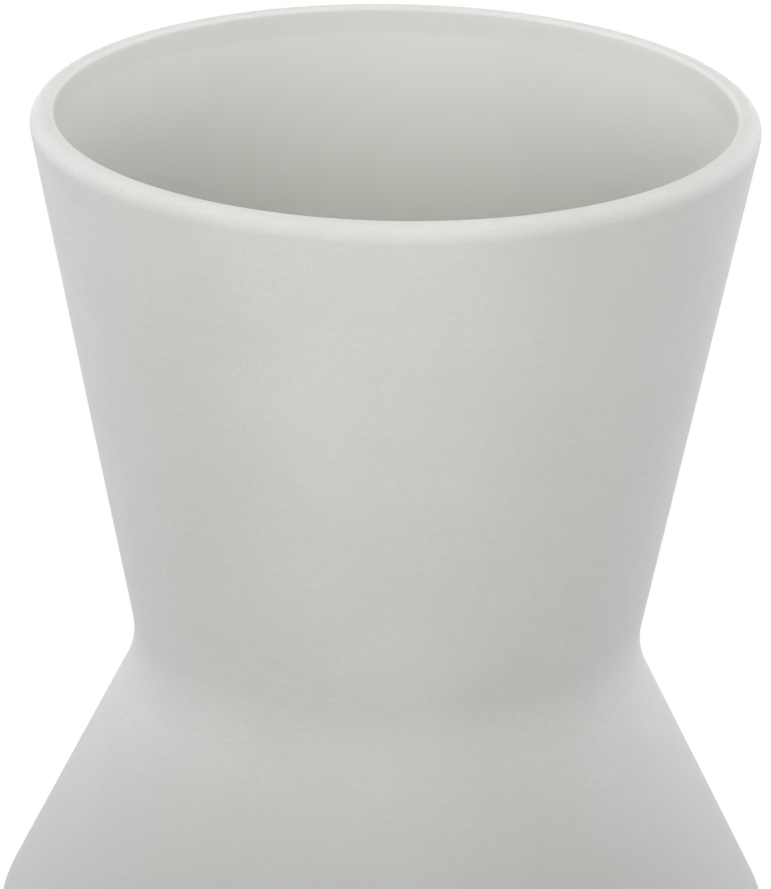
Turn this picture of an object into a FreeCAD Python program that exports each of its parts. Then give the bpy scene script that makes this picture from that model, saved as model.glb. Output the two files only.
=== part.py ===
"""A stoneware trumpet vase: a flared neck, a narrow waist, a sloping shoulder and a belly narrowing to the foot.

It is put together as such a form is made. Three cone sections and a floor slab are shaped separately, then
luted with slip at stepped seams. The hollow is glazed, and after firing felt dots go under the foot ring.
Lengths are in millimetres. The axis is Z, and Z = 0 is the surface that the felt dots stand on.
"""

import FreeCAD
import Part
import Sketcher
import math
import os

# The driving dimensions: cell name, size, what it is.
DIMENSIONS = (
    ("rim_radius", 82.5, "outside radius of the neck where its slope meets the rim plane"),
    ("neck_height", 130.5, "crease of the waist up to the rim"),
    ("waist_radius", 57.7, "outside radius at the crease of the waist"),
    ("shoulder_height", 69.3, "corner of the shoulder up to the crease of the waist"),
    ("shoulder_radius", 91.8, "outside radius at the corner of the shoulder"),
    ("belly_height", 119.2, "foot plane up to the corner of the shoulder"),
    ("foot_radius", 66.0, "outside radius at the foot plane"),
    ("wall", 5.3, "wall thickness, square to the wall"),
    ("lip_band", 5.0, "depth below the rim of the steeper band inside the lip"),
    ("lip_band_lean", 0.4, "how far the band leans outward over its height"),
    ("lip_outer_round", 3.3, "rounding of the lip's outer edge"),
    ("lip_inner_round", 1.2, "rounding of the lip's inner edge"),
    ("lip_blend_round", 38.0, "softening where the band meets the inner slope"),
    ("waist_round", 27.0, "outside rounding in the crease of the waist"),
    ("shoulder_round", 14.0, "outside rounding of the shoulder's corner"),
    ("hollow_shoulder_round", 9.1, "inside rounding of the shoulder's corner"),
    ("hollow_floor_round", 7.0, "inside rounding where the wall meets the floor"),
    ("foot_ring_width", 11.0, "width of the ring that the vase stands on"),
    ("foot_recess", 2.5, "depth of the hollow under the floor slab"),
    ("foot_outer_round", 1.6, "rounding of the foot ring's outer edge"),
    ("foot_inner_round", 0.8, "rounding of the foot ring's inner edge"),
    ("floor_thickness", 7.0, "thickness of the floor slab"),
    ("seat_depth", 7.0, "foot's outside in to the seat that holds the floor slab's edge"),
    ("slip_gap", 0.4, "thickness of the slip in each seam"),
    ("lap_height", 4.0, "height of the step in the waist and shoulder seams"),
    ("glaze_thickness", 0.5, "thickness of the glaze in the hollow"),
    ("glaze_drop", 6.0, "rim down to the top edge of the glaze"),
    ("felt_radius", 3.5, "radius of a felt dot"),
    ("felt_thickness", 1.0, "thickness of a felt dot"),
    ("felt_count", 4, "felt dots round the foot ring"),
    ("overrun", 10.0, "how far a cutting zone reaches past the clay"),
)

FULL_TURN = 360.0
ON_CORNER = 0.001

# Heights of the levels that the form turns at, and slopes of its walls, as expressions on the sheet.
FOOT_LEVEL = "dims.felt_thickness"
SHOULDER_LEVEL = f"({FOOT_LEVEL} + dims.belly_height)"
WAIST_LEVEL = f"({SHOULDER_LEVEL} + dims.shoulder_height)"
RIM_LEVEL = f"({WAIST_LEVEL} + dims.neck_height)"
SLAB_LEVEL = f"({FOOT_LEVEL} + dims.foot_recess)"
FLOOR_LEVEL = f"({SLAB_LEVEL} + dims.floor_thickness)"
NECK_SLOPE = "(dims.rim_radius - dims.waist_radius) / dims.neck_height"
SHOULDER_SLOPE = "(dims.shoulder_radius - dims.waist_radius) / dims.shoulder_height"
BELLY_SLOPE = "(dims.shoulder_radius - dims.foot_radius) / dims.belly_height"

# How far rounding moves the outside from its sharp corner: out at the waist, in at the shoulder.
WAIST_FILL = f"dims.waist_round * (1 / cos((atan({NECK_SLOPE}) + atan({SHOULDER_SLOPE})) / 2) - 1)"
SHOULDER_TRIM = f"dims.shoulder_round * (1 / cos((atan({SHOULDER_SLOPE}) + atan({BELLY_SLOPE})) / 2) - 1)"

# The waist seam steps up inside: the neck fits over a spigot on the shoulder section.
WAIST_STEP = f"(dims.waist_radius + {WAIST_FILL} - dims.wall / 2)"
WAIST_LAP_LEVEL = f"({WAIST_LEVEL} + dims.lap_height)"
# The shoulder seam steps down inside: a spigot on the shoulder section fits into the belly.
SHOULDER_STEP = f"(dims.shoulder_radius - {SHOULDER_TRIM} - dims.wall / 2)"
SHOULDER_LAP_LEVEL = f"({SHOULDER_LEVEL} - dims.lap_height)"
# The floor slab lies on a ledge inside the foot ring, in a round seat.
RING_INSIDE = "(dims.foot_radius - dims.foot_ring_width)"
SEAT = "(dims.foot_radius - dims.seat_depth)"
SEAT_TOP = f"({FLOOR_LEVEL} + dims.hollow_floor_round)"
LEDGE_LEVEL = f"({SLAB_LEVEL} - dims.slip_gap)"
# The reach of the cutting zones past the clay.
OUTER_REACH = "(dims.shoulder_radius + dims.overrun)"
UPPER_REACH = f"({RIM_LEVEL} + dims.overrun)"
LOWER_REACH = f"({FOOT_LEVEL} - dims.overrun)"

# The four corners of the outside, from the rim down.
OUTSIDE = (
    ("dims.rim_radius", RIM_LEVEL),
    ("dims.waist_radius", WAIST_LEVEL),
    ("dims.shoulder_radius", SHOULDER_LEVEL),
    ("dims.foot_radius", FOOT_LEVEL),
)

document = FreeCAD.newDocument("trumpet_vase")
sheet = document.addObject("Spreadsheet::Sheet", "dims")
for row, (alias, size, meaning) in enumerate(DIMENSIONS, start=1):
    sheet.set(f"A{row}", alias)
    sheet.set(f"B{row}", str(size))
    sheet.setAlias(f"B{row}", alias)
    sheet.set(f"C{row}", meaning)
document.recompute()


def value(expression):
    """The number that an expression on the sheet comes to."""
    return float(sheet.evalExpression(expression))


def new_body(name):
    """An empty body and the sketch plane that holds its axis."""
    body = document.addObject("PartDesign::Body", name)
    plane = next(f for f in body.Origin.OriginFeatures if f.Role == "XZ_Plane")
    return body, plane


def new_sketch(body, plane, name):
    """An empty sketch whose across is the radius and whose up is Z."""
    sketch = body.newObject("Sketcher::SketchObject", name)
    sketch.AttachmentSupport = [(plane, "")]
    sketch.MapMode = "FlatFace"
    return sketch


def draw_lines(sketch, corners, closed=True, construction=False):
    """Straight lines through the corners, joined end to end. Gives their numbers in the sketch."""
    points = [FreeCAD.Vector(radius, height, 0) for radius, height in corners]
    ends = points[1:] + points[:1] if closed else points[1:]
    lines = [
        sketch.addGeometry(Part.LineSegment(start, end), construction)
        for start, end in zip(points, ends)
    ]
    following = lines[1:] + lines[:1] if closed else lines[1:]
    for line, after in zip(lines, following):
        sketch.addConstraint(Sketcher.Constraint("Coincident", line, 2, after, 1))
    return lines


def bind(sketch, kind, line, end, expression, name):
    """Holds one end of a line at a distance from the origin that the sheet gives."""
    number = sketch.addConstraint(Sketcher.Constraint(kind, -1, 1, line, end, value(expression)))
    sketch.renameConstraint(number, name)
    sketch.setExpression(f"Constraints.{name}", expression)


def pin(sketch, line, end, radius, height, name):
    """Holds one end of a line at a radius, which may be 0 for the axis, and a height."""
    if radius == "0":
        sketch.addConstraint(Sketcher.Constraint("PointOnObject", line, end, -2))
    else:
        bind(sketch, "DistanceX", line, end, radius, f"{name}_radius")
    bind(sketch, "DistanceY", line, end, height, f"{name}_height")


def turn(body, sketch, kind, name):
    """Turns a profile once round the axis, as a revolution that adds to the body or a groove that cuts it."""
    feature = body.newObject(kind, name)
    feature.Profile = (sketch, [""])
    feature.ReferenceAxis = (sketch, ["V_Axis"])
    feature.Angle = FULL_TURN
    document.recompute()
    return feature


def corner_of(sketch, line, end):
    """Radius and height of one end of a line in a solved sketch."""
    point = sketch.getPoint(line, end)
    return point.x, point.y


def round_corner(body, corner, radius, name):
    """Rounds the ring edge that a corner of a profile leaves on the body's newest shape."""
    before = body.Tip
    found = [
        f"Edge{number}"
        for number, edge in enumerate(before.Shape.Edges, start=1)
        if isinstance(edge.Curve, Part.Circle)
        and math.hypot(edge.Curve.Radius - corner[0], edge.Curve.Center.z - corner[1]) < ON_CORNER
    ]
    if len(found) != 1:
        raise ValueError(f"{name}: {len(found)} ring edges at {corner}")
    fillet = body.newObject("PartDesign::Fillet", name)
    fillet.Base = (before, found)
    fillet.setExpression("Radius", radius)
    document.recompute()
    return fillet


def draw_outside(body, plane):
    """The outside of the vase as a closed half profile, and the numbers of its lines from the rim down."""
    sketch = new_sketch(body, plane, "outside_profile")
    corners = [(value(radius), value(height)) for radius, height in OUTSIDE]
    corners += [(0, corners[-1][1]), (0, corners[0][1])]
    lines = draw_lines(sketch, corners)
    for line, (radius, height), name in zip(lines, OUTSIDE, ("rim", "waist", "shoulder", "foot")):
        pin(sketch, line, 1, radius, height, name)
    pin(sketch, lines[4], 1, "0", FOOT_LEVEL, "foot_centre")
    pin(sketch, lines[5], 1, "0", RIM_LEVEL, "rim_centre")
    document.recompute()
    return sketch, lines


def draw_hollow(body, plane, name, inset, floor_level):
    """A closed half profile that follows the outside, at an inset square to it, from a floor up to the rim.

    Just below the rim the inner slope gives way to a steeper band, so the lip is thicker than the wall.
    """
    sketch = new_sketch(body, plane, name)
    outside = [(value(radius), value(height)) for radius, height in OUTSIDE]
    guides = draw_lines(sketch, outside, closed=False, construction=True)
    for line, (radius, height), part in zip(guides, OUTSIDE, ("rim", "waist", "shoulder")):
        pin(sketch, line, 1, radius, height, part)
    pin(sketch, guides[-1], 2, *OUTSIDE[-1], "foot")

    depth = value(inset)
    floor, top = value(floor_level), value(RIM_LEVEL)
    band_foot = top - value("dims.lip_band")
    lean = value("dims.lip_band_lean")
    band_radius = outside[0][0] - depth - value("dims.lip_band") * value(NECK_SLOPE)
    corners = [
        (band_radius + lean, top),
        (band_radius, band_foot),
        (outside[1][0] - depth, outside[1][1]),
        (outside[2][0] - depth, outside[2][1]),
        (outside[3][0] - depth + value(BELLY_SLOPE) * (floor - outside[3][1]), floor),
        (0, floor),
        (0, top),
    ]
    lines = draw_lines(sketch, corners)
    band, neck, shoulder, belly, bottom, axis, lid = lines
    number = sketch.addConstraint(Sketcher.Constraint("DistanceX", band, 2, band, 1, lean))
    sketch.renameConstraint(number, "band_lean")
    sketch.setExpression("Constraints.band_lean", "dims.lip_band_lean")
    sketch.addConstraint(Sketcher.Constraint("Horizontal", bottom))
    sketch.addConstraint(Sketcher.Constraint("Horizontal", lid))
    sketch.addConstraint(Sketcher.Constraint("PointOnObject", axis, 1, -2))
    sketch.addConstraint(Sketcher.Constraint("PointOnObject", axis, 2, -2))
    bind(sketch, "DistanceY", band, 1, RIM_LEVEL, "rim_level")
    bind(sketch, "DistanceY", bottom, 1, floor_level, "floor_level")
    bind(sketch, "DistanceY", band, 2, f"{RIM_LEVEL} - dims.lip_band", "band_level")
    for line, guide, part in zip((neck, shoulder, belly), guides, ("neck", "shoulder", "belly")):
        sketch.addConstraint(Sketcher.Constraint("Parallel", line, guide))
        number = sketch.addConstraint(Sketcher.Constraint("Distance", line, 2, guide, depth))
        sketch.renameConstraint(number, f"{part}_inset")
        sketch.setExpression(f"Constraints.{part}_inset", inset)
    document.recompute()
    return sketch, lines


def round_hollow(body, sketch, lines, inset, prefix):
    """Rounds the corners that a hollow's profile leaves, with curves that run along those of the outside."""
    band, neck, shoulder, belly = lines[:4]
    past_wall = f"({inset} - dims.wall)"
    rounds = (
        ("waist", neck, f"dims.waist_round + {inset}"),
        ("shoulder", shoulder, f"dims.hollow_shoulder_round - {past_wall}"),
        ("floor", belly, f"dims.hollow_floor_round - {past_wall}"),
        ("lip_blend", band, f"dims.lip_blend_round + {past_wall}"),
    )
    for name, line, radius in rounds:
        round_corner(body, corner_of(sketch, line, 2), radius, f"{prefix}_{name}_round")


def make_clay_form():
    """The whole clay body in one: outside, hollow, foot ring and every rounded edge. The seams divide it."""
    body, plane = new_body("clay_form")
    outside, outside_lines = draw_outside(body, plane)
    turn(body, outside, "PartDesign::Revolution", "outside_turned")
    hollow, hollow_lines = draw_hollow(body, plane, "hollow_profile", "dims.wall", FLOOR_LEVEL)
    turn(body, hollow, "PartDesign::Groove", "hollow_cut")

    recess = [("0", FOOT_LEVEL), (RING_INSIDE, FOOT_LEVEL), (RING_INSIDE, SLAB_LEVEL), ("0", SLAB_LEVEL)]
    underside = draw_zone(body, plane, "underside_profile", recess)
    turn(body, underside, "PartDesign::Groove", "underside_cut")

    rim, waist, shoulder, foot = (corner_of(outside, line, 1) for line in outside_lines[:4])
    round_corner(body, waist, "dims.waist_round", "waist_round")
    round_corner(body, shoulder, "dims.shoulder_round", "shoulder_round")
    round_corner(body, foot, "dims.foot_outer_round", "foot_outer_round")
    round_corner(body, (value(RING_INSIDE), foot[1]), "dims.foot_inner_round", "foot_inner_round")
    round_hollow(body, hollow, hollow_lines, "dims.wall", "hollow")
    round_corner(body, rim, "dims.lip_outer_round", "lip_outer_round")
    round_corner(body, corner_of(hollow, hollow_lines[0], 1), "dims.lip_inner_round", "lip_inner_round")
    return body


def draw_zone(body, plane, name, corners):
    """A closed half profile with every corner placed by a radius and a height on the sheet."""
    sketch = new_sketch(body, plane, name)
    lines = draw_lines(sketch, [(value(radius), value(height)) for radius, height in corners])
    for number, (line, (radius, height)) in enumerate(zip(lines, corners)):
        pin(sketch, line, 1, radius, height, f"corner_{number}")
    document.recompute()
    return sketch


def make_zone(name, corners):
    """The ring of space that one piece of clay or slip takes its share of the clay form from."""
    body, plane = new_body(name)
    sketch = draw_zone(body, plane, f"{name}_profile", corners)
    turn(body, sketch, "PartDesign::Revolution", f"{name}_turned")
    return body


def take_piece(clay, zone, name):
    """A piece of the vase: what a zone holds of the clay form."""
    piece = document.addObject("Part::Common", name)
    piece.Base = clay
    piece.Tool = zone
    return piece


def make_hollow_form(name, inset, floor_level):
    """A solid of the space inside a wall of the given thickness, floor to rim, with its corners rounded."""
    body, plane = new_body(name)
    sketch, lines = draw_hollow(body, plane, f"{name}_profile", inset, floor_level)
    turn(body, sketch, "PartDesign::Revolution", f"{name}_turned")
    round_hollow(body, sketch, lines, inset, name)
    return body, plane


def make_glaze():
    """The glaze that makes the hollow watertight: a thin skin from under the lip down over the floor."""
    skin, plane = make_hollow_form("glaze_skin", "dims.wall", FLOOR_LEVEL)
    edge_level = f"({RIM_LEVEL} - dims.glaze_drop)"
    above = f"({RIM_LEVEL} + dims.overrun)"
    corners = [("0", edge_level), ("dims.rim_radius", edge_level), ("dims.rim_radius", above), ("0", above)]
    edge = draw_zone(skin, plane, "glaze_edge_profile", corners)
    turn(skin, edge, "PartDesign::Groove", "glaze_edge_cut")

    inset = "(dims.wall + dims.glaze_thickness)"
    core, _ = make_hollow_form("glaze_core", inset, f"({FLOOR_LEVEL} + dims.glaze_thickness)")
    glaze = document.addObject("Part::Cut", "inner_glaze")
    glaze.Base = skin
    glaze.Tool = core
    return glaze


def make_felt_dots():
    """Round felt dots stuck under the foot ring, one on each quarter."""
    body = document.addObject("PartDesign::Body", "felt_dots")
    body.AllowCompound = True
    plane = next(f for f in body.Origin.OriginFeatures if f.Role == "XY_Plane")
    sketch = new_sketch(body, plane, "felt_outline")
    ring_middle = "dims.foot_radius - dims.foot_ring_width / 2"
    centre = FreeCAD.Vector(value(ring_middle), 0, 0)
    circle = sketch.addGeometry(Part.Circle(centre, FreeCAD.Vector(0, 0, 1), value("dims.felt_radius")))
    bind(sketch, "DistanceX", circle, 3, ring_middle, "ring_middle")
    sketch.addConstraint(Sketcher.Constraint("PointOnObject", circle, 3, -1))
    number = sketch.addConstraint(Sketcher.Constraint("Radius", circle, value("dims.felt_radius")))
    sketch.renameConstraint(number, "felt_radius")
    sketch.setExpression("Constraints.felt_radius", "dims.felt_radius")
    dot = body.newObject("PartDesign::Pad", "felt_dot")
    dot.Profile = (sketch, [""])
    dot.setExpression("Length", "dims.felt_thickness")
    document.recompute()
    pattern = body.newObject("PartDesign::PolarPattern", "felt_ring")
    pattern.Originals = [dot]
    pattern.Axis = (sketch, ["N_Axis"])
    pattern.Angle = FULL_TURN
    pattern.setExpression("Occurrences", "dims.felt_count")
    body.Tip = pattern
    document.recompute()
    return body


def seam_edge(level_inside, step, level_outside, side):
    """One face of a stepped seam, from the axis out, half the slip's thickness above (1) or below (-1) it."""
    half_gap = "dims.slip_gap / 2"
    up = "+" if side > 0 else "-"
    steps_down_outward = value(level_inside) > value(level_outside)
    out = "+" if (side > 0) == steps_down_outward else "-"
    shoulder_of_step = f"{step} {out} {half_gap}"
    return [
        ("0", f"{level_inside} {up} {half_gap}"),
        (shoulder_of_step, f"{level_inside} {up} {half_gap}"),
        (shoulder_of_step, f"{level_outside} {up} {half_gap}"),
        (OUTER_REACH, f"{level_outside} {up} {half_gap}"),
    ]


waist_above, waist_below = (seam_edge(WAIST_LAP_LEVEL, WAIST_STEP, WAIST_LEVEL, side) for side in (1, -1))
shoulder_above, shoulder_below = (
    seam_edge(SHOULDER_LAP_LEVEL, SHOULDER_STEP, SHOULDER_LEVEL, side) for side in (1, -1)
)
SLAB_EDGE = f"({SEAT} - dims.slip_gap)"

# The zone that each piece takes its share of the clay form from, as corners given by radius and height.
ZONES = {
    "neck_section": [*waist_above, (OUTER_REACH, UPPER_REACH), ("0", UPPER_REACH)],
    "waist_slip": waist_below + waist_above[::-1],
    "shoulder_section": shoulder_above + waist_below[::-1],
    "shoulder_slip": shoulder_below + shoulder_above[::-1],
    "belly_section": [
        (SEAT, LEDGE_LEVEL),
        ("0", LEDGE_LEVEL),
        ("0", LOWER_REACH),
        (OUTER_REACH, LOWER_REACH),
        *shoulder_below[:0:-1],
        (SEAT, shoulder_below[0][1]),
    ],
    "floor_slip": [
        (RING_INSIDE, LEDGE_LEVEL),
        (SEAT, LEDGE_LEVEL),
        (SEAT, SEAT_TOP),
        (SLAB_EDGE, SEAT_TOP),
        (SLAB_EDGE, SLAB_LEVEL),
        (RING_INSIDE, SLAB_LEVEL),
    ],
    "floor_slab": [("0", SLAB_LEVEL), (SLAB_EDGE, SLAB_LEVEL), (SLAB_EDGE, SEAT_TOP), ("0", SEAT_TOP)],
}

clay_form = make_clay_form()
pieces = [take_piece(clay_form, make_zone(f"{name}_zone", corners), name) for name, corners in ZONES.items()]
pieces += [make_glaze(), make_felt_dots()]
document.recompute()

for item in document.Objects:
    if {"Invalid", "Error"} & set(item.State):
        raise RuntimeError(f"{item.Label} failed: {item.State}")
os.makedirs("parts", exist_ok=True)
for piece in pieces:
    if piece.Shape.isNull() or not piece.Shape.isValid():
        raise RuntimeError(f"{piece.Label} has no sound shape")
    piece.Shape.exportStep(f"parts/{piece.Label}.step")
    print(piece.Label, len(piece.Shape.Solids), "solids", round(piece.Shape.Volume / 1000, 2), "cm3")
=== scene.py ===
"""The looks of a stoneware trumpet vase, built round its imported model.

Lengths are in metres, and Z is up.
"""

import math

import bpy
from mathutils import Matrix, Vector

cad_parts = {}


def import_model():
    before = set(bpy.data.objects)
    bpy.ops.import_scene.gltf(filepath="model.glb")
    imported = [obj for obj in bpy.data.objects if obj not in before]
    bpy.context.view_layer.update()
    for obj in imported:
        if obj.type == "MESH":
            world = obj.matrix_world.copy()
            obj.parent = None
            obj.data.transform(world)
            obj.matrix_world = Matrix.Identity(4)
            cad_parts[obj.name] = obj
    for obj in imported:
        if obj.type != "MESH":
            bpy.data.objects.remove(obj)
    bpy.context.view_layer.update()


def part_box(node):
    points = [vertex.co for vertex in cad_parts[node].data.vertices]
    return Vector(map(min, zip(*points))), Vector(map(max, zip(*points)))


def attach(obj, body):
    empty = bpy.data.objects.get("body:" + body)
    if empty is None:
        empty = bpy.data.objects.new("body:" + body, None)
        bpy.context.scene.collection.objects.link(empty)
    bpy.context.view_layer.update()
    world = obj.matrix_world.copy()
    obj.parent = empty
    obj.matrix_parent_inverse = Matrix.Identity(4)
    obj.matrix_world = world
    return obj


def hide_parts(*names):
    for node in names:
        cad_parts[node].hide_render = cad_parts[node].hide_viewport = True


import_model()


# ---- Belly section ----
# The lowest cone of the clay wall, thrown in pale stoneware. It swells from the foot ring to the
# corner of the shoulder and is brushed with a sandy engobe. The foot ring is wiped clean, and a
# ledge is cut into its inside for the floor slab.

MM = 0.001
MICRON = 0.001 * MM
WALL = 5.3 * MM
FOOT_RING_WIDTH = 11.0 * MM
SEAT_DEPTH = 7.0 * MM
FOOT_OUTER_ROUND = 1.6 * MM
FOOT_INNER_ROUND = 0.8 * MM
SHOULDER_ROUND = 14.0 * MM
HOLLOW_SHOULDER_ROUND = 9.1 * MM
HOLLOW_FLOOR_ROUND = 7.0 * MM


def low_of(node):
    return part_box(node)[0].z


def high_of(node):
    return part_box(node)[1].z


slab_level = low_of("floor_slab")
floor_level = low_of("inner_glaze")
slip = slab_level - low_of("floor_slip")

# The corners of the outside, as radius and height, as if nothing were rounded.
FOOT = Vector((66.0 * MM, low_of("belly_section")))
SHOULDER = Vector((91.8 * MM, high_of("belly_section") + slip / 2))
WAIST = Vector((57.7 * MM, low_of("neck_section") - slip / 2))
RIM = Vector((82.5 * MM, high_of("neck_section")))
NECK_SLOPE = (RIM.x - WAIST.x) / (RIM.y - WAIST.y)

ledge_level = slab_level - slip
seat = FOOT.x - SEAT_DEPTH
ring_inside = FOOT.x - FOOT_RING_WIDTH


def outward(low, high):
    """The outward direction, square to a stretch of the wall that runs up from low to high."""
    run = (high - low).normalized()
    return Vector((run.y, -run.x))


def inset(below, corner, above, depth):
    """A corner of the wall moved in by a depth, measured square to the wall on both sides of it."""
    middle = (outward(below, corner) + outward(corner, above)).normalized()
    return corner - middle * depth / middle.dot(outward(corner, above))


FINE_STEP = 0.1 * MM
FINE_TURN = math.radians(1)


def rounded(*corners):
    """A fine line through corners. Each is a place, or a place and the radius that rounds it."""
    places = [corner if isinstance(corner, Vector) else corner[0] for corner in corners]
    line = places[:1]
    for index, corner in enumerate(corners[1:], 1):
        arc = [places[index]]
        if not isinstance(corner, Vector):
            place, radius = corner
            back = (places[index - 1] - place).normalized()
            on = (places[index + 1] - place).normalized()
            half = back.angle(on) / 2
            sweep = (math.pi - 2 * half) * (1 if back.cross(on) < 0 else -1)
            centre = place + (back + on).normalized() * radius / math.sin(half)
            first = place + back * radius / math.tan(half) - centre
            count = math.ceil(abs(sweep) * max(1 / FINE_TURN, radius / FINE_STEP))
            arc = [
                centre + Matrix.Rotation(sweep * step / count, 2) @ first
                for step in range(count + 1)
            ]
        gap = arc[0] - line[-1]
        count = math.ceil(gap.length / FINE_STEP)
        line += [line[-1] + gap * step / count for step in range(1, count)] + arc
    return line


def after(line, place, axis="y"):
    """What is left of a line from where it first crosses a height, or a radius."""
    for index, (start, end) in enumerate(zip(line, line[1:]), 1):
        low, high = getattr(start, axis), getattr(end, axis)
        if low != high and 0 <= (place - low) / (high - low) <= 1:
            return [start.lerp(end, (place - low) / (high - low)), *line[index:]]


def before(line, place, axis="y"):
    """What is left of a line up to where it last crosses a height, or a radius."""
    return after(line[::-1], place, axis)[::-1]


STEP = 1.1 * MM
END_GROWTH = 0.3
TURN = math.radians(3.5)


def thinned(line, step=STEP):
    """A line with fewer points, crowded at its ends so that shading runs on between pieces."""
    kept = line[:1]
    for point, following in zip(line[1:], line[2:]):
        gap = point - kept[-1]
        if gap.length == 0:
            continue
        end_gap = min((point - line[0]).length, (point - line[-1]).length)
        widest = min(step, FINE_STEP + END_GROWTH * end_gap)
        if gap.length >= widest or gap.angle(following - point, 0) > TURN:
            kept.append(point)
    return kept + line[-1:]


def face_of(seam, side):
    """A face of a stepped seam, as its outside level, its step and its inside level.

    Side is 1 above the slip and -1 below it.
    """
    level, step, inside_level = seam
    way = side if inside_level > level else -side
    return level + side * slip / 2, step + way * slip / 2, inside_level + side * slip / 2


def step_of(face):
    """The two corners of a seam's face, from the outside in."""
    level, step, inside_level = face
    return [Vector((step, level)), Vector((step, inside_level))]


class Wire:
    """An output of a node, used in sums like a number."""

    def __init__(self, bench, socket):
        self.bench, self.socket = bench, socket

    def __getitem__(self, name):
        return Wire(self.bench, self.socket.node.outputs[name])

    def math(self, operation, *others):
        values = dict(enumerate((self, *others)))
        return self.bench.node("ShaderNodeMath", {"operation": operation}, values)

    def __add__(self, other):
        return self.math("ADD", other)

    def __sub__(self, other):
        return self.math("SUBTRACT", other)

    def __rsub__(self, other):
        return self * -1.0 + other

    def __mul__(self, other):
        return self.math("MULTIPLY", other)

    def __gt__(self, other):
        return self.math("GREATER_THAN", other)

    def __lt__(self, other):
        return self.math("LESS_THAN", other)

    __radd__, __rmul__ = __add__, __mul__


# How far out a spot is full and where it ends, in widths of the cell that holds it.
SPOT_EDGE = (0.010, 0.026)


class Bench:
    """A node tree that is being built."""

    def __init__(self, tree):
        self.tree = tree
        tree.nodes.clear()

    def node(self, kind, settings=None, values=None):
        """A new node with its settings and its inputs' values or links. Gives its first output."""
        made = self.tree.nodes.new(kind)
        for name, setting in (settings or {}).items():
            setattr(made, name, setting)
        for key, value in (values or {}).items():
            if isinstance(value, Wire):
                self.tree.links.new(value.socket, made.inputs[key])
            else:
                made.inputs[key].default_value = value
        return Wire(self, made.outputs[0]) if made.outputs else None

    def smooth(self, value, start, end):
        """0 below start and 1 above end, with an even curve between."""
        settings = {"interpolation_type": "SMOOTHSTEP"}
        return self.node("ShaderNodeMapRange", settings, {0: value, 1: start, 2: end})

    def vector(self, operation, first, second):
        return self.node("ShaderNodeVectorMath", {"operation": operation}, {0: first, 1: second})

    def scaled(self, vector, amount):
        values = {0: vector, "Scale": amount}
        return self.node("ShaderNodeVectorMath", {"operation": "SCALE"}, values)

    def length(self, vector):
        return self.node("ShaderNodeVectorMath", {"operation": "LENGTH"}, {0: vector})["Value"]

    def parts(self, vector):
        return self.node("ShaderNodeSeparateXYZ", None, {0: vector})

    def noise(self, place, per_metre, detail=2.0, seed=0.0):
        """Smooth random values on both sides of 0, nearly all within 0.5 of it."""
        settings = {"noise_dimensions": "4D"}
        values = {"Vector": place, "W": seed, "Scale": per_metre, "Detail": detail}
        return self.node("ShaderNodeTexNoise", settings, values) - 0.5

    def spots(self, place, per_metre, share):
        """1 in small spots, in a share of the cells that could hold one."""
        cell = self.node("ShaderNodeTexVoronoi", None, {"Vector": place, "Scale": per_metre})
        rare = self.node("ShaderNodeSeparateColor", None, {0: cell["Color"]}) < share
        return (1 - self.smooth(cell["Distance"], *SPOT_EDGE)) * rare

    def mix(self, share, first, second):
        """A colour between two others."""
        return self.node("ShaderNodeMix", {"data_type": "RGBA"}, {0: share, 6: first, 7: second})[2]

    def finished(self, geometry, finish):
        """Ends a geometry tree: its instances are made real, and all of it gets the finish."""
        geometry = self.node("GeometryNodeRealizeInstances", None, {0: geometry})
        values = {"Geometry": geometry, "Material": finish}
        geometry = self.node("GeometryNodeSetMaterial", None, values)
        self.node("NodeGroupOutput", None, {0: geometry})
        return self.tree


def opened(name, inputs):
    """A bench with a new geometry tree, and the node that gives the tree's named inputs."""
    tree = bpy.data.node_groups.new(name, "GeometryNodeTree")
    tree.interface.new_socket("Geometry", in_out="OUTPUT", socket_type="NodeSocketGeometry")
    for socket, kind in inputs.items():
        tree.interface.new_socket(socket, in_out="INPUT", socket_type="NodeSocket" + kind)
    bench = Bench(tree)
    return bench, bench.node("NodeGroupInput")


PATH_RADIUS = 50.0 * MM
STILL_CORE = 20.0 * MM
WELD = 2.0 * MICRON
CREASE = math.radians(40)
RIDGE_LAY = (0.04, 0.04, 1)


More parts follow.
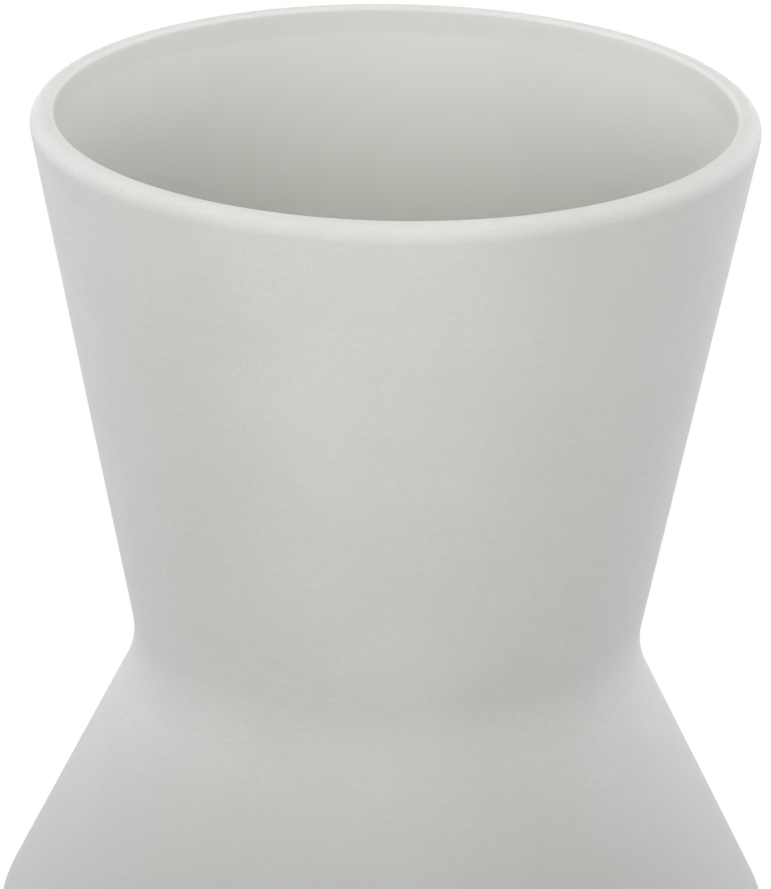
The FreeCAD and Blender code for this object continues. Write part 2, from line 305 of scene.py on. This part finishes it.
def make_wheel():
    """A tree that turns an outline round Z and leaves it a little oval and uneven, like clay."""
    inputs = {
        "Outline": "Object",
        "Segments": "Int",
        "Oval": "Float",
        "Oval Height": "Float",
        "Unevenness": "Float",
        "Bumps Per Metre": "Float",
        "Ridge Depth": "Float",
        "Ridges Per Metre": "Float",
        "Seed": "Float",
        "Finish": "Material",
    }
    bench, given = opened("wheel", inputs)

    # The outline is swept along a circle, which takes it upside down, so it is turned over first.
    outline = bench.node("GeometryNodeObjectInfo", None, {"Object": given["Outline"]})["Geometry"]
    placing = {"Geometry": outline, "Translation": (-PATH_RADIUS, 0, 0), "Scale": (1, -1, 1)}
    outline = bench.node("GeometryNodeTransform", None, placing)
    circle = {"Resolution": given["Segments"], "Radius": PATH_RADIUS}
    path = bench.node("GeometryNodeCurvePrimitiveCircle", None, circle)
    body = bench.node("GeometryNodeCurveToMesh", None, {"Curve": path, "Profile Curve": outline})
    body = bench.node("GeometryNodeFlipFaces", None, {"Mesh": body})
    body = bench.node("GeometryNodeMergeByDistance", None, {"Geometry": body, "Distance": WELD})

    place = bench.node("GeometryNodeInputPosition")
    part = bench.parts(place)
    flat = bench.vector("MULTIPLY", place, (1, 1, 0))
    angle = part["Y"].math("ARCTAN2", part["X"])
    seed = given["Seed"]
    growth = part["Z"].math("DIVIDE", given["Oval Height"])
    oval = (angle * 2 + seed).math("COSINE") * given["Oval"] * growth
    bumps = bench.noise(place, given["Bumps Per Metre"], 1.0, seed) * 2 * given["Unevenness"]
    along = bench.vector("MULTIPLY", place, RIDGE_LAY)
    ridges = bench.noise(along, given["Ridges Per Metre"], 1.0, seed) * 2 * given["Ridge Depth"]
    push = (oval + bumps + ridges) * bench.smooth(bench.length(flat), 0.0, STILL_CORE)
    way = bench.node("ShaderNodeVectorMath", {"operation": "NORMALIZE"}, {0: flat})
    moved = {"Geometry": body, "Offset": bench.scaled(way, push)}
    body = bench.node("GeometryNodeSetPosition", None, moved)

    bend = bench.node("GeometryNodeInputMeshEdgeAngle")
    body = bench.node("GeometryNodeSetShadeSmooth", {"domain": "FACE"}, {0: body, 2: True})
    creases = {0: body, 1: bend > CREASE, 2: False}
    body = bench.node("GeometryNodeSetShadeSmooth", {"domain": "EDGE"}, creases)
    return bench.finished(body, given["Finish"])


wheel = make_wheel()


def grown(name, tree, **values):
    """A plain mesh object, made by a tree from the values of its inputs."""
    piece = bpy.data.objects.new(name, bpy.data.meshes.new(name))
    bpy.context.scene.collection.objects.link(piece)
    modifier = piece.modifiers.new("growth", "NODES")
    modifier.node_group = tree
    for socket in tree.interface.items_tree:
        if socket.in_out == "INPUT":
            modifier[socket.identifier] = values[socket.name.replace(" ", "_").lower()]
    depsgraph = bpy.context.evaluated_depsgraph_get()
    piece.data = bpy.data.meshes.new_from_object(piece.evaluated_get(depsgraph))
    piece.modifiers.clear()
    piece.data.name = name
    return piece


def turned(name, finish, outline, closed=True, segments=320):
    """A piece turned from its outline, which runs anticlockwise with the axis on the left."""
    curve = bpy.data.curves.new("outline", "CURVE")
    curve.dimensions = "3D"
    spline = curve.splines.new("POLY")
    spline.points.add(len(outline) - 1)
    for point, place in zip(spline.points, outline):
        point.co = (*place, 0, 1)
    spline.use_cyclic_u = closed
    guide = bpy.data.objects.new("outline", curve)
    bpy.context.scene.collection.objects.link(guide)
    piece = grown(
        name,
        wheel,
        outline=guide,
        segments=segments,
        oval=0.10 * MM,
        oval_height=high_of("neck_section"),
        unevenness=0.12 * MM,
        bumps_per_metre=14.0,
        ridge_depth=7.0 * MICRON,
        ridges_per_metre=260.0,
        seed=3.0,
        finish=finish,
    )
    bpy.data.objects.remove(guide)
    return piece


def finish_of(name, surface, **plain):
    """A material.

    Surface gives its colour, its roughness and its relief in metres, from a bench and a place.
    """
    material = bpy.data.materials.new(name)
    material.use_nodes = True
    bench = Bench(material.node_tree)
    colour, roughness, relief = surface(bench, bench.node("ShaderNodeTexCoord")["Object"])
    normal = bench.node("ShaderNodeBump", None, {"Distance": 1.0, "Height": relief})
    changing = {"Base Color": colour, "Roughness": roughness, "Normal": normal}
    shader = bench.node("ShaderNodeBsdfPrincipled", None, changing | plain)
    bench.node("ShaderNodeOutputMaterial", None, {0: shader})
    return material


ENGOBE = (0.600, 0.604, 0.596, 1)
ENGOBE_THIN = (0.560, 0.562, 0.550, 1)
# Painted shade: a darker engobe laid round the corner of the shoulder.
ENGOBE_PAINTED_SHADE = (0.500, 0.507, 0.496, 1)
BARE_CLAY = (0.470, 0.440, 0.395, 1)
BARE_GROG = (0.300, 0.260, 0.215, 1)
IRON_SPECK = (0.210, 0.185, 0.160, 1)
ENGOBE_SPONGED = (0.610, 0.615, 0.590, 1)
LINE_LAY = (0.02, 0.02, 1)
STROKE_LAY = (0.22, 0.22, 1)
WIPED = 1.6 * MM
WIPED_EDGE = 0.3 * MM
WIPED_WAVE = 2.4 * MM
# How far from the shoulder's corner the painted shade is full, and where it ends.
PAINTED_SHADE_FROM, PAINTED_SHADE_TO = 8.0 * MM, 74.0 * MM
SPONGED_FROM, SPONGED_TO = 4.9 * MM, 5.9 * MM
SPONGED_OFF = 0.8


def engobed_clay(bench, place):
    """Sandy engobe, brushed on round the wheel, over clay that is bare at the foot."""
    grain = bench.noise(place, 1250.0)
    lumps = bench.noise(place, 480.0, seed=5.0)
    mottle = bench.noise(place, 38.0, detail=3.0, seed=9.0)
    lines = bench.noise(bench.vector("MULTIPLY", place, LINE_LAY), 700.0, seed=2.0)
    strokes = bench.noise(bench.vector("MULTIPLY", place, STROKE_LAY), 1500.0, seed=6.0)
    speck = bench.spots(place, 150.0, 0.22) * 0.6
    height = bench.parts(place)["Z"]

    # The brush leaves it thick or thin, and a sponge has wiped the foot. Round the corner of the
    # shoulder it is painted darker, as painted shade.
    thick = bench.smooth(mottle + grain * 0.9 + strokes * 0.8 + lines * 0.35, -0.35, 0.45)
    engobe = bench.mix(thick, ENGOBE_THIN, ENGOBE)
    # Painted shade, darkest at the corner of the shoulder.
    shoulder_painted_shade = 1 - bench.smooth((height - SHOULDER.y).math("ABSOLUTE"), PAINTED_SHADE_FROM, PAINTED_SHADE_TO)
    engobe = bench.mix(shoulder_painted_shade, engobe, ENGOBE_PAINTED_SHADE)
    engobe = bench.mix(speck, engobe, IRON_SPECK)
    bare = bench.mix(bench.smooth(grain + lumps, 0.16, 0.34), BARE_CLAY, BARE_GROG)
    wiped_to = FOOT.y + WIPED
    edge = (wiped_to - WIPED_EDGE, wiped_to + WIPED_EDGE)
    wiped = 1 - bench.smooth(height + mottle * WIPED_WAVE, *edge)
    colour = bench.mix(wiped, engobe, bare)
    roughness = 0.74 + grain * 0.2 + wiped * 0.1
    relief = grain * 90.0 * MICRON + lumps * 30.0 * MICRON + strokes * 75.0 * MICRON
    relief = relief + lines * 12.0 * MICRON - wiped * 60.0 * MICRON

    # Inside the lip a sponge has smoothed it, down to the glaze.
    core = bench.length(bench.vector("MULTIPLY", place, (1, 1, 0)))
    depth = RIM.x - core - (RIM.y - height) * NECK_SLOPE
    sponged = bench.smooth(depth, SPONGED_FROM, SPONGED_TO) * (height > WAIST.y)
    colour = bench.mix(sponged, colour, ENGOBE_SPONGED)
    return colour, roughness, relief * (1 - sponged * SPONGED_OFF)


engobed = finish_of("engobed_stoneware", engobed_clay)

# The seam over the belly lies in the corner of the shoulder. Halfway through the wall it steps
# down.
half_turn = outward(FOOT, SHOULDER).angle(outward(SHOULDER, WAIST)) / 2
shoulder_step = SHOULDER.x - SHOULDER_ROUND * (1 / math.cos(half_turn) - 1) - WALL / 2
shoulder_seam = (SHOULDER.y, shoulder_step, low_of("shoulder_section") - slip / 2)

hollow_shoulder = inset(FOOT, SHOULDER, WAIST, WALL)
hollow_foot = FOOT + (SHOULDER - FOOT) * (floor_level - FOOT.y) / (SHOULDER.y - FOOT.y)
hollow_foot.x -= WALL / outward(FOOT, SHOULDER).x
hollow_middle = Vector((0, floor_level))
ledge_inside = Vector((ring_inside, ledge_level))
belly_outside = rounded(
    ledge_inside,
    (Vector((ring_inside, FOOT.y)), FOOT_INNER_ROUND),
    (FOOT, FOOT_OUTER_ROUND),
    (SHOULDER, SHOULDER_ROUND),
    WAIST,
)
belly_inside = rounded(
    hollow_shoulder + WAIST - SHOULDER,
    (hollow_shoulder, HOLLOW_SHOULDER_ROUND),
    (hollow_foot, HOLLOW_FLOOR_ROUND),
    hollow_middle,
)
face = face_of(shoulder_seam, -1)
belly = turned(
    "belly_wall",
    engobed,
    [
        *thinned(before(belly_outside, face[0])),
        *step_of(face),
        *thinned(before(after(belly_inside, face[2]), seat, "x")),
        Vector((seat, ledge_level)),
    ],
)
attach(belly, "root")
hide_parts("belly_section")


# ---- Floor slab and its slip ----
# The floor of the vase is a flat disc rolled from the same clay. It rests on the ledge inside the
# foot ring, bedded in slip, a cream of clay and water that also fills the narrow gap round it.
# Its underside stays bare.

SLAB_STEP = 2.5 * MM
SLIP_TONE = (0.545, 0.520, 0.470, 1)
WEAVE_TURNS = 4200.0


def bare_slab(bench, place):
    """Bare fired clay with grains of grog, rolled flat on a cloth that has left its weave."""
    grain = bench.noise(place, 1300.0, detail=3.0)
    grog = bench.noise(place, 520.0, seed=4.0)
    toast = bench.noise(place, 30.0, seed=7.0)
    part = bench.parts(place)
    weave = (part["X"] * WEAVE_TURNS).math("SINE") * (part["Y"] * WEAVE_TURNS).math("SINE")
    clay = bench.mix(bench.smooth(toast, -0.3, 0.3), BARE_CLAY, SLIP_TONE)
    colour = bench.mix(bench.smooth(grog + grain * 0.5, 0.20, 0.32), clay, BARE_GROG)
    roughness = 0.86 + grain * 0.16
    relief = grain * 40.0 * MICRON + grog * 30.0 * MICRON + weave * 9.0 * MICRON
    return colour, roughness, relief


def dried_slip(bench, place):
    """Slip, finer and paler than the clay, wiped along the joint with a damp finger."""
    grain = bench.noise(place, 1700.0)
    wiping = bench.noise(place, 160.0, seed=6.0)
    colour = bench.mix(bench.smooth(wiping + grain * 0.6, -0.3, 0.3), SLIP_TONE, ENGOBE_THIN)
    roughness = 0.80 + grain * 0.15
    relief = grain * 18.0 * MICRON + wiping * 40.0 * MICRON
    return colour, roughness, relief


slab_edge = seat - slip
belly_floor = after(after(belly_inside, shoulder_seam[2]), seat, "x")
slab = turned(
    "floor_disc",
    finish_of("bare_stoneware", bare_slab),
    [
        *thinned(rounded(Vector((0, slab_level)), Vector((slab_edge, slab_level))), SLAB_STEP),
        *thinned(after(belly_floor, slab_edge, "x"), SLAB_STEP),
    ],
    closed=False,
)
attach(slab, "root")
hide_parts("floor_slab")

floor_slip = turned(
    "floor_slip_ring",
    finish_of("wiped_slip", dried_slip),
    [
        ledge_inside,
        Vector((seat, ledge_level)),
        *thinned(before(belly_floor, slab_edge, "x")),
        Vector((slab_edge, slab_level)),
        Vector((ring_inside, slab_level)),
    ],
)
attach(floor_slip, "root")
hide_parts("floor_slip")


# ---- Shoulder section and the slip under it ----
# The middle cone of the wall draws in steeply from the shoulder to the waist. It is thrown and
# engobed as the belly is, and luted to it with slip in a stepped joint, which is scraped flush
# and brushed over.

WAIST_ROUND = 27.0 * MM

# The seam at the waist steps up halfway through the wall.
half_turn = outward(SHOULDER, WAIST).angle(outward(WAIST, RIM)) / 2
waist_step = WAIST.x + WAIST_ROUND * (1 / math.cos(half_turn) - 1) - WALL / 2
waist_seam = (WAIST.y, waist_step, high_of("shoulder_section") + slip / 2)

hollow_waist = inset(SHOULDER, WAIST, RIM, WALL)
cones_outside = rounded(FOOT, (SHOULDER, SHOULDER_ROUND), (WAIST, WAIST_ROUND), RIM)
cones_inside = rounded(
    hollow_waist + RIM - WAIST,
    (hollow_waist, WAIST_ROUND + WALL),
    (hollow_shoulder, HOLLOW_SHOULDER_ROUND),
    hollow_foot,
)


def ring_of_wall(name, low, high):
    """A piece of the wall between the faces of two seams."""
    outline = [
        *thinned(before(after(cones_outside, low[0]), high[0])),
        *step_of(high),
        *thinned(before(after(cones_inside, high[2]), low[2])),
        *reversed(step_of(low)),
    ]
    piece = turned(name, engobed, outline)
    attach(piece, "root")
    return piece


under_slip, over_slip = face_of(shoulder_seam, -1), face_of(shoulder_seam, 1)
shoulder = ring_of_wall("shoulder_wall", over_slip, face_of(waist_seam, -1))
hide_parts("shoulder_section")

shoulder_slip = ring_of_wall("shoulder_slip_ring", under_slip, over_slip)
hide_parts("shoulder_slip")


# ---- Neck section and the slip under it ----
# The neck opens like a trumpet from the waist to the rim. It is luted to the shoulder as that is
# to the belly. A steeper band inside leaves its lip thick, and the lip is sponged round outside
# and cut crisp at its inner edge.

LIP_BAND = 5.0 * MM
LIP_BAND_LEAN = 0.4 * MM
LIP_OUTER_ROUND = 3.3 * MM
LIP_INNER_ROUND = 1.2 * MM
LIP_BLEND_ROUND = 38.0 * MM

under_slip, over_slip = face_of(waist_seam, -1), face_of(waist_seam, 1)
waist_slip = ring_of_wall("waist_slip_ring", under_slip, over_slip)
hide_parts("waist_slip")


def band(depth):
    """The foot and the top of the band inside the lip, at a depth into the hollow."""
    inside = RIM.x - (WALL + depth) / outward(WAIST, RIM).x
    foot = Vector((inside - LIP_BAND * NECK_SLOPE, RIM.y - LIP_BAND))
    return foot, foot + Vector((LIP_BAND_LEAN, LIP_BAND))


band_foot, band_top = band(0)
neck_line = rounded(
    SHOULDER,
    (WAIST, WAIST_ROUND),
    (RIM, LIP_OUTER_ROUND),
    (band_top, LIP_INNER_ROUND),
    (band_foot, LIP_BLEND_ROUND),
    (hollow_waist, WAIST_ROUND + WALL),
    hollow_shoulder,
)
neck = turned(
    "neck_wall",
    engobed,
    [
        *thinned(before(after(neck_line, over_slip[0]), over_slip[2])),
        *reversed(step_of(over_slip)),
    ],
)
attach(neck, "root")
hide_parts("neck_section")


# ---- Inner glaze ----
# A liner glaze that keeps the vase watertight. It is poured in and out, coats the hollow half a
# millimetre thick in one skin from the floor to just under the lip, and is fired to a satin
# surface in the colour of the engobe.

GLAZE_THICKNESS = 0.5 * MM
GLAZE_FADE = 13.0 * MM
GLAZE_STEP = 2.3 * MM
GLAZE = (0.600, 0.605, 0.577, 1)
GLAZE_THICK = (0.585, 0.590, 0.563, 1)
# Painted shade: the glaze is darker deep in the hollow and turns to its own colour towards the lip.
GLAZE_PAINTED_SHADE = (0.552, 0.557, 0.520, 1)
GLAZE_SHADE_FROM, GLAZE_SHADE_TO = 250.0 * MM, 318.0 * MM
CLOUD_LAY = (1, 1, 0.35)

glaze_top = high_of("inner_glaze")


def hollow_line(depth):
    """The hollow at a depth into it, from the band inside the lip to the middle of the floor."""
    past = WALL + depth
    foot, top = band(depth)
    corner = hollow_foot + (SHOULDER - FOOT) * depth / (SHOULDER.y - FOOT.y)
    corner.x -= depth / outward(FOOT, SHOULDER).x
    return rounded(
        top,
        (foot, LIP_BLEND_ROUND + depth),
        (inset(SHOULDER, WAIST, RIM, past), WAIST_ROUND + past),
        (inset(FOOT, SHOULDER, WAIST, past), HOLLOW_SHOULDER_ROUND - depth),
        (corner, HOLLOW_FLOOR_ROUND - depth),
        Vector((0, floor_level + depth)),
    )


def liner_glaze(bench, place):
    """Satin glaze, faintly cloudy where it ran thicker, with a few pinholes.

    Deep in the hollow it is painted darker, as painted shade.
    """
    drawn = bench.vector("MULTIPLY", place, CLOUD_LAY)
    cloud = bench.noise(drawn, 60.0, detail=3.0, seed=8.0)
    orange_peel = bench.noise(place, 900.0, seed=1.0)
    pinhole = bench.spots(place, 110.0, 0.16)
    height = bench.parts(place)["Z"]
    colour = bench.mix(bench.smooth(cloud + orange_peel * 0.5, -0.35, 0.35), GLAZE_THICK, GLAZE)
    # Painted shade: darker deeper down in the hollow.
    colour = bench.mix(bench.smooth(height, GLAZE_SHADE_FROM, GLAZE_SHADE_TO), GLAZE_PAINTED_SHADE, colour)
    colour = bench.mix(pinhole, colour, IRON_SPECK)
    roughness = 0.68 + orange_peel * 0.12
    relief = orange_peel * 20.0 * MICRON - pinhole * 60.0 * MICRON
    return colour, roughness, relief


glaze_back = after(hollow_line(0), glaze_top)
glaze_front = after(hollow_line(GLAZE_THICKNESS), glaze_top - GLAZE_FADE)
inner_glaze = turned(
    "liner_glaze",
    finish_of("liner_glaze", liner_glaze),
    [*thinned(glaze_back, GLAZE_STEP * 2)[::-1], *thinned(glaze_front, GLAZE_STEP)],
    closed=False,
)
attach(inner_glaze, "root")
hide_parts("inner_glaze")


# ---- Felt dots ----
# Four round dots of pressed wool felt, glued under the foot ring so that the bare clay can't
# scratch a table. They are punched from sheet, and their cut edges are a little fuzzy.

FELT_RADIUS = 3.5 * MM
FELT_ROUND = 0.25 * MM
FELT_STEP = 0.3 * MM
FELT_COUNT = 4
FELT_CIRCLE = 60.5 * MM
FELT_DARK = (0.200, 0.195, 0.185, 1)
FELT_LIGHT = (0.330, 0.320, 0.305, 1)


def make_dot_ring():
    """A tree that roughens a dot and sets copies of it round a circle, each turned its own way."""
    inputs = {
        "Dot": "Object",
        "Count": "Int",
        "Circle": "Float",
        "Fuzz": "Float",
        "Tufts Per Metre": "Float",
        "Seed": "Float",
        "Finish": "Material",
    }
    bench, given = opened("dot_ring", inputs)
    dot = bench.node("GeometryNodeObjectInfo", None, {"Object": given["Dot"]})["Geometry"]
    place = bench.node("GeometryNodeInputPosition")
    way = bench.node("GeometryNodeInputNormal")
    fuzz = bench.noise(place, given["Tufts Per Metre"], 2.0, given["Seed"]) * given["Fuzz"]
    moved = bench.vector("MULTIPLY", bench.scaled(way, fuzz), (1, 1, 0))
    dot = bench.node("GeometryNodeSetPosition", None, {"Geometry": dot, "Offset": moved})
    ring = {"Vertices": given["Count"], "Radius": given["Circle"]}
    circle = bench.node("GeometryNodeMeshCircle", None, ring)
    turns = {0: (0, 0, 0), 1: (0, 0, 2 * math.pi), "Seed": given["Seed"]}
    turn = bench.node("FunctionNodeRandomValue", {"data_type": "FLOAT_VECTOR"}, turns)
    copies = {"Points": circle, "Instance": dot, "Rotation": turn}
    dots = bench.node("GeometryNodeInstanceOnPoints", None, copies)
    return bench.finished(dots, given["Finish"])


def pressed_felt(bench, place):
    """Matted wool: short fibres that lie every way, of mixed greys."""
    matting = bench.noise(place, 1800.0, detail=4.0)
    fibres = bench.noise(bench.vector("MULTIPLY", place, (0.2, 1, 1)), 5200.0, seed=3.0)
    others = bench.noise(bench.vector("MULTIPLY", place, (1, 0.2, 1)), 5200.0, seed=4.0)
    light = bench.smooth(matting + fibres * 0.6 + others * 0.6, -0.4, 0.4)
    colour = bench.mix(light, FELT_DARK, FELT_LIGHT)
    roughness = 0.95 + matting * 0.05
    relief = (matting * 2 + fibres + others) * 40.0 * MICRON
    return colour, roughness, relief


felt = finish_of("wool_felt", pressed_felt, **{"Sheen Weight": 0.3, "Sheen Roughness": 0.5})
felt_top = high_of("felt_dots")
dot = turned(
    "felt_dot",
    felt,
    thinned(
        rounded(
            Vector((0, 0)),
            (Vector((FELT_RADIUS, 0)), FELT_ROUND),
            (Vector((FELT_RADIUS, felt_top)), FELT_ROUND),
            Vector((0, felt_top)),
        ),
        FELT_STEP,
    ),
    closed=False,
    segments=64,
)
felt_dots = grown(
    "felt_pads",
    make_dot_ring(),
    dot=dot,
    count=FELT_COUNT,
    circle=FELT_CIRCLE,
    fuzz=0.10 * MM,
    tufts_per_metre=2500.0,
    seed=1.0,
    finish=felt,
)
bpy.data.objects.remove(dot)
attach(felt_dots, "root")
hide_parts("felt_dots")


# ---- Floor and backdrop ----
# A white sweep of paper. It shows the vase's shadow close by, and further off it is plain white
# to the camera. The room's own light is dim and a little warm.

FLOOR_SIZE = 12.0
FLOOR_WHITE = (0.86, 0.86, 0.86, 1)
WHITE = (1, 1, 1, 1)
SHADOW_FROM, SHADOW_TO = 0.05, 0.34
SHADOW_SHARE = 0.9
ROOM_LEVEL = 0.33
ROOM_TINT = (1, 1, 0.92, 1)


def seen(bench):
    """1 for what the camera sees directly, in a gloss or through glass."""
    path = bench.node("ShaderNodeLightPath")
    indirect = path["Is Glossy Ray"].math("MAXIMUM", path["Is Transmission Ray"])
    return path["Is Camera Ray"].math("MAXIMUM", indirect)


paper = bpy.data.materials.new("paper")
paper.use_nodes = True
bench = Bench(paper.node_tree)
place = bench.node("ShaderNodeTexCoord")["Object"]
reach = bench.length(place)
lit = bench.node("ShaderNodeBsdfDiffuse", None, {"Color": FLOOR_WHITE})
white = bench.node("ShaderNodeEmission", None, {"Color": WHITE, "Strength": 1.0})
near = 1 - bench.smooth(reach, SHADOW_FROM, SHADOW_TO)
share = seen(bench) * (1 - near * near * SHADOW_SHARE)
surface = bench.node("ShaderNodeMixShader", None, {0: share, 1: lit, 2: white})
bench.node("ShaderNodeOutputMaterial", None, {0: surface})

floor_mesh = bpy.data.meshes.new("floor")
half = FLOOR_SIZE / 2
corners = [(-half, -half, 0), (half, -half, 0), (half, half, 0), (-half, half, 0)]
floor_mesh.from_pydata(corners, [], [(0, 1, 2, 3)])
floor_mesh.materials.append(paper)
floor = bpy.data.objects.new("floor", floor_mesh)
bpy.context.scene.collection.objects.link(floor)

world = bpy.data.worlds.new("studio")
world.use_nodes = True
bpy.context.scene.world = world
bench = Bench(world.node_tree)
soft = bench.node("ShaderNodeBackground", None, {"Color": ROOM_TINT, "Strength": ROOM_LEVEL})
white = bench.node("ShaderNodeBackground", None, {"Color": WHITE, "Strength": 1.0})
surface = bench.node("ShaderNodeMixShader", None, {0: seen(bench), 1: soft, 2: white})
bench.node("ShaderNodeOutputWorld", None, {0: surface})


# ---- Lamps ----
# Round soft boxes half a metre off: one in front, a weaker one to its left, one on each side
# behind, a little cooler, which light the edges, and one overhead, which lights the lip and the
# inside. Two small low ones in front lift the belly.

BIG, SMALL = 0.45, 0.12
LOW_AIM = 0.0
PLAIN, COOL = (1, 1, 1), (0.926, 0.926, 1)

# Name: azimuth, elevation and distance from the point it is aimed at, that point's height, size,
# spread, power and tint.
LAMPS = {
    "front": (0, 20, 0.55, RIM.y, BIG, 60, 0.426, PLAIN),
    "front_left": (-60, 20, 0.55, RIM.y, BIG, 115, 0.180, PLAIN),
    "left_behind": (-120, 4, 0.50, RIM.y, BIG, 100, 0.751, COOL),
    "right_behind": (120, 4, 0.50, RIM.y, BIG, 100, 0.837, COOL),
    "overhead": (180, 75, 0.50, RIM.y, BIG, 180, 1.390, PLAIN),
    "low_left": (-30, 5, 0.50, LOW_AIM, SMALL, 32, 0.016, PLAIN),
    "low_right": (45, 5, 0.50, LOW_AIM, SMALL, 32, 0.021, PLAIN),
}

for name, (azimuth, elevation, distance, aim, size, spread, power, tint) in LAMPS.items():
    azimuth, elevation = math.radians(azimuth), math.radians(elevation)
    flat = Vector((math.sin(azimuth), -math.cos(azimuth), 0)) * math.cos(elevation)
    way = flat + Vector((0, 0, math.sin(elevation)))
    light = bpy.data.lights.new(name, "AREA")
    light.shape = "DISK"
    light.size = size
    light.energy = power
    light.color = tint
    light.spread = math.radians(spread)
    soft_box = bpy.data.objects.new(name, light)
    place = Vector((0, 0, aim)) + way * distance
    turn = way.to_track_quat("Z", "Y").to_matrix().to_4x4()
    soft_box.matrix_world = Matrix.Translation(place) @ turn
    soft_box.visible_camera = soft_box.visible_glossy = False
    bpy.context.scene.collection.objects.link(soft_box)


# ---- Camera ----
# It looks down into the mouth from a little over a metre away, with a long lens.

LOOK_AT = Vector((0, 0, 0.26))
DISTANCE = 1.140143
ELEVATION = math.radians(20.8042)
YAW = math.radians(-0.0544)
PITCH = math.radians(-0.9984)
ROLL = math.radians(0.9695)
FOCAL_LENGTH = 202.47
NEAREST = 0.05

lens = bpy.data.cameras.new("camera")
lens.lens = FOCAL_LENGTH
lens.clip_start = NEAREST
camera = bpy.data.objects.new("camera", lens)
back = Vector((0, -math.cos(ELEVATION), math.sin(ELEVATION)))
camera.matrix_world = (
    Matrix.Translation(LOOK_AT + back * DISTANCE)
    @ Matrix.Rotation(math.radians(90) - ELEVATION, 4, "X")
    @ Matrix.Rotation(-YAW, 4, "Y")
    @ Matrix.Rotation(PITCH, 4, "X")
    @ Matrix.Rotation(ROLL, 4, "Z")
)
bpy.context.scene.collection.objects.link(camera)
bpy.context.scene.camera = camera
bpy.context.scene.view_settings.view_transform = "Standard"
